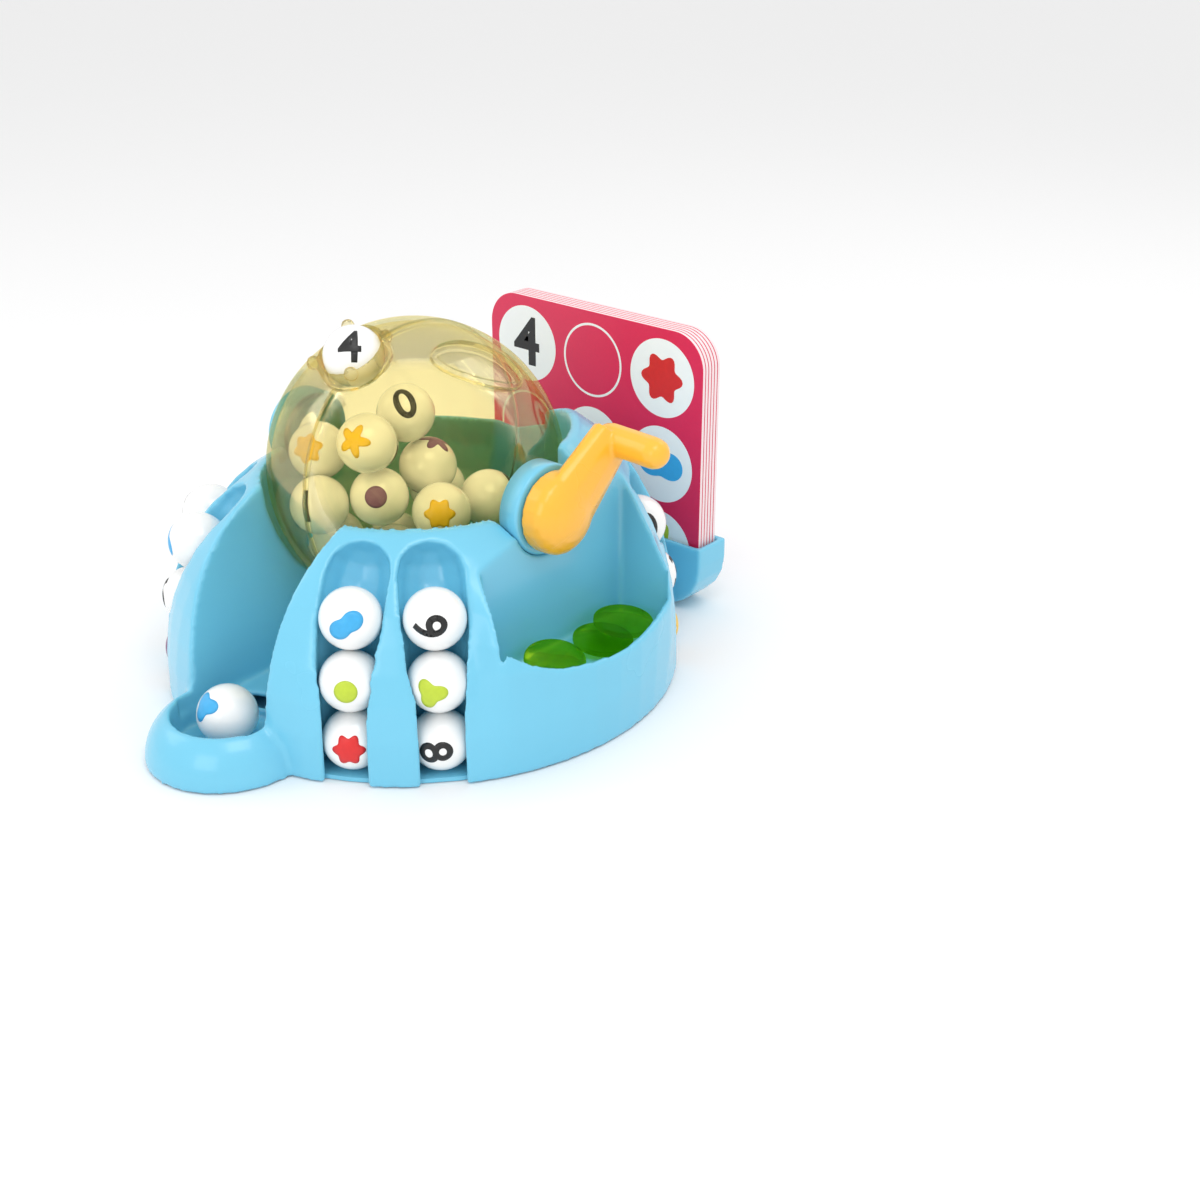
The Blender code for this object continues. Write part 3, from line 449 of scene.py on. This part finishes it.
def ball(name, node, body, mark, ink, direction, roll):
    """A smooth ball with one mark printed round it."""
    low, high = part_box(node)
    centre = (low + high) / 2
    radius = settings().ball_r
    bm = bmesh.new()
    bmesh.ops.create_icosphere(bm, subdivisions=4, radius=radius)
    print_bm = thicken(mark_shape(mark, radius * 1.22), -0.12 * MM, 0.05 * MM)
    for side in (1, -1):
        part = print_bm.copy()
        for vert in part.verts:
            x, y, depth = vert.co
            bend = Vector((math.sin(x / radius) * math.cos(y / radius), math.sin(y / radius),
                           math.cos(x / radius) * math.cos(y / radius)))
            vert.co = bend * (radius + depth)
        part.transform(upright(Vector(direction) * side, roll))
        for face in part.faces:
            face.material_index = 1
        holder = bpy.data.meshes.new("mark")
        part.to_mesh(holder)
        part.free()
        bm.from_mesh(holder)
        bpy.data.meshes.remove(holder)
    print_bm.free()
    bm.transform(Matrix.Translation(centre))
    mesh = to_mesh(bm, name, bpy.data.materials["ball_plastic"], bpy.data.materials["ink_" + ink])
    add(name, mesh, body, [node])


# ---- operators, one for each piece or group of like pieces ----
class BuildFinishes(bpy.types.Operator):
    """Makes the plastics, inks and steel"""
    bl_idname = "bingo.finishes"
    bl_label = "Finishes"

    def execute(self, context):
        cage = settings()
        moulded("blue_plastic", cage.blue)
        moulded("orange_plastic", cage.orange, 0.28)
        clear("clear_yellow", cage.drum_tint, cage.drum_edge)
        clear("clear_gold", colour(cage.drum_tint, 0.96)[:3], (0.90, 0.66, 0.16), 0.05, 0.5)
        clear("clear_green", cage.token_tint, (0.60, 0.86, 0.10), 0.06, 0.4)
        ball_plastic()
        plated_steel()
        for ink, tone in INKS.items():
            printed("ink_" + ink, tone)
        return {"FINISHED"}


class BuildBase(bpy.types.Operator):
    """Moulds the base shell and gives the cover and its screws their finish"""
    bl_idname = "bingo.base"
    bl_label = "Base"

    def execute(self, context):
        blue = bpy.data.materials["blue_plastic"]
        softened("base_shell", "moulded_base", 1.1 * MM, 10, blue, "base", keep=0.5)
        for name, node in frame["nodes"].items():
            if name == "bottom_cover" or "screw" in name:
                node.data.materials.clear()
                node.data.materials.append(bpy.data.materials["plated_steel"] if "screw" in name else blue)
        return {"FINISHED"}


class BuildCollars(bpy.types.Operator):
    """Turns the two bearing collars"""
    bl_idname = "bingo.collars"
    bl_label = "Bearing collars"

    def execute(self, context):
        for side, name in ((1, "right"), (-1, "left")):
            node = "bearing_collar_" + name
            low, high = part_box(node)
            long = high.x - low.x
            outer = (high.z - low.z) / 2
            round_r = 1.4 * MM
            profile = [(COLLAR_BORE, 0.0), (outer, 0.0)]
            profile += arc((outer - round_r, long - round_r), round_r, 0, 90, 6)
            profile += arc((COLLAR_BORE + round_r / 2, long - round_r / 2), round_r / 2, 90, 180, 4)
            start = Vector((low.x if side > 0 else high.x, 0, AXLE.z))
            bm = turned(profile, (side, 0, 0), start, 96)
            add("collar_" + name, to_mesh(bm, "collar_" + name, bpy.data.materials["blue_plastic"]),
                "base", [node])
        return {"FINISHED"}


class BuildDrum(bpy.types.Operator):
    """Turns the two clear halves of the drum and softens the gate and the hatch"""
    bl_idname = "bingo.drum"
    bl_label = "Drum"

    def execute(self, context):
        for side, name in ((1, "right"), (-1, "left")):
            self.half(side, name)
        clear_yellow = bpy.data.materials["clear_yellow"]
        softened("ball_gate", "gate_ring", 0.45 * MM, 4, bpy.data.materials["clear_gold"], "drum")
        softened("loading_hatch", "hatch_cap", 0.45 * MM, 5, clear_yellow, "drum")
        return {"FINISHED"}

    def half(self, side, name):
        node = "drum_half_" + name
        low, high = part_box(node)
        inner = DRUM_R - settings().drum_wall
        stub_end = high.x if side > 0 else -low.x
        top = math.degrees(math.acos(NECK_R / DRUM_R))
        profile = [(inner, SEAM), (DRUM_R, SEAM)]
        profile += arc((0, 0), DRUM_R, 1.0, top, 34)
        profile += [(NECK_R, NECK_END - EDGE), (NECK_R - EDGE, NECK_END), (STUB_R, NECK_END),
                    (STUB_R, stub_end - EDGE), (STUB_R - EDGE, stub_end), (0.0, stub_end), (0.0, inner)]
        profile += arc((0, 0), inner, 88.0, 1.0, 34)
        bm = turned(profile, (side, 0, 0), AXLE, 112)
        mesh = to_mesh(bm, "drum_" + name, bpy.data.materials["clear_yellow"])
        cutters = [self.hole(hole) for hole in ("ball_gate", "loading_hatch")]
        cuts = [("BOOLEAN", {"object": cutter, "operation": "DIFFERENCE"}) for cutter in cutters]
        mesh = evaluated(mesh, cuts)
        for cutter in cutters:
            bpy.data.objects.remove(cutter)
        mesh.name = "drum_" + name
        add("drum_" + name, mesh, "drum", [node])

    def hole(self, node):
        """The solid outline of a piece let into the drum, as a cutter with a little clearance."""
        low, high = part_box(node)
        bm = bmesh.new()
        bm.from_mesh(frame["nodes"][node].data)
        hull = bmesh.ops.convex_hull(bm, input=list(bm.verts))
        inside = set(hull["geom_interior"] + hull["geom_unused"])
        bmesh.ops.delete(bm, geom=list(inside), context="VERTS")
        centre = (low + high) / 2
        bm.transform(Matrix.Translation(centre) @ Matrix.Scale(1.015, 4) @ Matrix.Translation(-centre))
        cutter = bpy.data.objects.new("cutter", to_mesh(bm, "cutter", smooth=False))
        bpy.context.scene.collection.objects.link(cutter)
        return cutter


class BuildCrank(bpy.types.Operator):
    """Moulds the crank in one smooth piece"""
    bl_idname = "bingo.crank"
    bl_label = "Crank"

    def execute(self, context):
        softened("crank", "moulded_crank", 0.8 * MM, 8, bpy.data.materials["orange_plastic"], "drum")
        return {"FINISHED"}


BALL_LOOKS = {
    "ball_in_gate": ("4", "black", (0.55, -0.62, 0.55), 0),
    "ball_in_tray": ("clover", "sky", (-0.10, -0.80, 0.60), 20),
    "ball_right_1_top": ("leaf", "sky", (0.62, -0.75, 0.20), 35),
    "ball_right_1_middle": ("dot", "lime", (0.62, -0.77, 0.10), 0),
    "ball_right_1_low": ("flower", "red", (0.62, -0.77, 0.10), 0),
    "ball_right_2_top": ("9", "black", (0.52, -0.80, 0.15), -75),
    "ball_right_2_middle": ("clover", "lime", (0.50, -0.82, 0.05), 10),
    "ball_right_2_low": ("8", "black", (0.50, -0.82, 0.05), -80),
    "ball_right_3_top": ("0", "black", (0.85, -0.45, 0.10), 0),
    "drum_ball_01": ("1", "black", (0.35, -0.90, 0.25), 10),
    "drum_ball_02": ("dot", "purple", (0.60, -0.70, 0.35), 0),
    "drum_ball_03": ("star", "gold", (0.30, -0.85, 0.40), 0),
    "drum_ball_04": ("flower", "gold", (0.40, -0.80, 0.40), 20),
    "drum_ball_05": ("0", "black", (0.60, -0.55, 0.60), 20),
    "drum_ball_06": ("flower", "gold", (0.62, -0.70, 0.30), 0),
}
SPARE_MARKS = ("1", "2", "3", "5", "6", "7", "star", "dot", "flower", "leaf", "clover")


class BuildBalls(bpy.types.Operator):
    """Makes every ball with its printed mark"""
    bl_idname = "bingo.balls"
    bl_label = "Balls"

    def execute(self, context):
        inks = list(INKS)
        behaviour = frame["record"]["behaviour"]["bodies"]
        body_of = {node: body for body, nodes in behaviour.items() for node in nodes}
        nodes = sorted(node for node in frame["nodes"] if "ball_" in node and node != "ball_gate")
        for number, node in enumerate(nodes):
            low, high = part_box(node)
            outward = (low + high) / 2
            outward.z = 0.015
            mark = SPARE_MARKS[number * 5 % len(SPARE_MARKS)]
            ink = inks[number * 7 % len(inks)] if mark in MARKS else "black"
            look = BALL_LOOKS.get(node, (mark, ink, outward, number * 47 % 90 - 45))
            ball("printed_" + node, node, body_of[node], *look)
        return {"FINISHED"}


class BuildTokens(bpy.types.Operator):
    """Turns the dished clear tokens"""
    bl_idname = "bingo.tokens"
    bl_label = "Tokens"

    def execute(self, context):
        rim = 0.5 * MM
        profile = [(0.0, 0.0), (10.6 * MM, 0.0), (TOKEN_R - 0.9 * MM, 0.7 * MM)]
        profile += arc((TOKEN_R - rim, 1.5 * MM), rim, -60, 0, 4)
        profile += arc((TOKEN_R - rim, 2.9 * MM), rim, 0, 180, 8)
        profile += [(10.5 * MM, 1.45 * MM), (0.0, 1.3 * MM)]
        for number, turn in enumerate(TOKEN_TURNS, 1):
            low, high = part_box(f"token_{number}")
            spin = (Matrix.Rotation(math.radians(turn[2]), 4, "Z")
                    @ Matrix.Rotation(math.radians(turn[1]), 4, "Y"))
            bm = turned(profile, (0, 0, 1), (0, 0, -1.7 * MM), 72)
            bm.transform(Matrix.Translation((low + high) / 2) @ spin)
            add(f"dished_token_{number}", to_mesh(bm, "token", bpy.data.materials["clear_green"]),
                "tokens", [f"token_{number}"])
        return {"FINISHED"}


CARD_MARKS = {(-1, 1): ("4", "black"), (1, 1): ("flower", "red"), (1, 0): ("leaf", "sky"),
              (0, 0): ("dot", "gold"), (-1, -1): ("7", "black"), (1, -1): ("star", "lime")}


class BuildCards(bpy.types.Operator):
    """Softens the rack and cuts the cards with their printed fronts"""
    bl_idname = "bingo.cards"
    bl_label = "Rack and cards"

    def execute(self, context):
        softened("card_rack", "moulded_rack", 0.9 * MM, 5, bpy.data.materials["blue_plastic"], "base")
        cards = [node for node in frame["nodes"] if node.startswith("card_") and node != "card_rack"]
        for number in range(1, len(cards) + 1):
            self.card(number)
        return {"FINISHED"}

    def card(self, number):
        low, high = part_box(f"card_{number}")
        name = f"printed_card_{number}"
        bm = bmesh.new()
        corners = ((low.x, low.z, CARD_FOOT_R, 180), (high.x, low.z, CARD_FOOT_R, 270),
                   (high.x, high.z, CARD_TOP_R, 0), (low.x, high.z, CARD_TOP_R, 90))
        outline = []
        for x, z, radius, start in corners:
            centre = (x + (radius if x < 0 else -radius), z + (radius if start >= 180 else -radius))
            outline += arc(centre, radius, start, start + 90, 14)
        face = bm.faces.new([bm.verts.new((x, low.y, z)) for x, z in outline])
        made = bmesh.ops.extrude_face_region(bm, geom=[face])
        bmesh.ops.translate(bm, verts=[item for item in made["geom"] if isinstance(item, bmesh.types.BMVert)],
                            vec=(0, high.y - low.y, 0))
        rims = [edge for edge in bm.edges if abs(edge.verts[0].co.y - edge.verts[1].co.y) < 1e-7]
        bmesh.ops.bevel(bm, geom=rims, offset=0.2 * MM, segments=2, profile=0.5, affect="EDGES", material=-1)
        mesh = to_mesh(bm, name, card_board("card_board_" + str(number), low, high), smooth=False)
        add(name, mesh, f"playing_card_{number}", [f"card_{number}"])
        if number == 1:
            self.marks(low, high)

    def marks(self, low, high):
        cell = (high.x - low.x) / CELLS
        middle = (low + high) / 2
        for (column, row), (mark, ink) in CARD_MARKS.items():
            bm = thicken(mark_shape(mark, 29 * MM), 0.0, 0.06 * MM)
            bm.transform(Matrix.Translation((middle.x + column * cell, low.y, middle.z + row * cell))
                         @ Matrix.Rotation(math.radians(90), 4, "X"))
            name = f"card_mark_{column + 2}_{row + 2}"
            add(name, to_mesh(bm, name, bpy.data.materials["ink_" + ink], smooth=False), "playing_card_1")


CAMERA_PLACE = (0.5492, -0.5096, 0.3879)
CAMERA_TURN = (math.radians(64.34), 0, math.radians(40.5))
CAMERA_LENS = 50.42
SOFTBOXES = (    # place, width and watts of each soft light
    ((0.45, -0.25, 0.95), 0.5, 2.4),
    ((-0.9, -0.6, 0.8), 0.6, 1.6),
    ((0.2, 0.9, 0.9), 0.6, 1.2),
    ((0.25, -1.0, 0.5), 0.5, 1.4),
)


class BuildStage(bpy.types.Operator):
    """Sets the floor, the soft lights and the camera"""
    bl_idname = "bingo.stage"
    bl_label = "Stage"

    def execute(self, context):
        scene = context.scene
        bm = bmesh.new()
        bmesh.ops.create_grid(bm, x_segments=1, y_segments=1, size=6.0)
        floor_finish = Finish("floor")
        floor_finish.principled(Base_Color=(0.93, 0.93, 0.93, 1), Roughness=0.7)
        floor = bpy.data.objects.new("floor", to_mesh(bm, "floor", floor_finish.material))
        floor.location.z = -0.0005
        scene.collection.objects.link(floor)
        world = bpy.data.worlds.new("studio")
        scene.world = world
        world.use_nodes = True
        world.node_tree.nodes["Background"].inputs[0].default_value = (0.98, 0.98, 0.98, 1)
        world.node_tree.nodes["Background"].inputs[1].default_value = 0.93
        for place, size, power in SOFTBOXES:
            light = bpy.data.lights.new("softbox", "AREA")
            light.size = size
            light.energy = power
            holder = bpy.data.objects.new("softbox", light)
            holder.location = place
            holder.rotation_euler = (Vector((0, 0, 0.06)) - Vector(place)).to_track_quat("-Z", "Y").to_euler()
            scene.collection.objects.link(holder)
        camera = bpy.data.cameras.new("camera")
        camera.lens = CAMERA_LENS
        camera.sensor_width = 36.0
        holder = bpy.data.objects.new("camera", camera)
        holder.location = CAMERA_PLACE
        holder.rotation_euler = CAMERA_TURN
        scene.collection.objects.link(holder)
        scene.camera = holder
        scene.view_settings.view_transform = "Standard"
        return {"FINISHED"}


class BingoPanel(bpy.types.Panel):
    """Lists the cage's pieces in the sidebar"""
    bl_idname = "VIEW3D_PT_bingo_cage"
    bl_label = "Bingo cage"
    bl_space_type = "VIEW_3D"
    bl_region_type = "UI"
    bl_category = "Bingo cage"

    def draw(self, context):
        for name in CageSettings.__annotations__:
            self.layout.prop(context.scene.bingo_cage, name)
        for operator in OPERATORS:
            self.layout.operator(operator.bl_idname)


OPERATORS = (BuildFinishes, BuildBase, BuildCollars, BuildDrum, BuildCrank, BuildBalls, BuildTokens,
             BuildCards, BuildStage)


def register():
    for kind in (CageSettings, *OPERATORS, BingoPanel):
        bpy.utils.register_class(kind)
    bpy.types.Scene.bingo_cage = PointerProperty(type=CageSettings)


def unregister():
    del bpy.types.Scene.bingo_cage
    for kind in (BingoPanel, *reversed(OPERATORS), CageSettings):
        bpy.utils.unregister_class(kind)


def main():
    register()
    for operator in OPERATORS:
        group, name = operator.bl_idname.split(".")
        getattr(getattr(bpy.ops, group), name)()


if __name__ == "__main__":
    main()
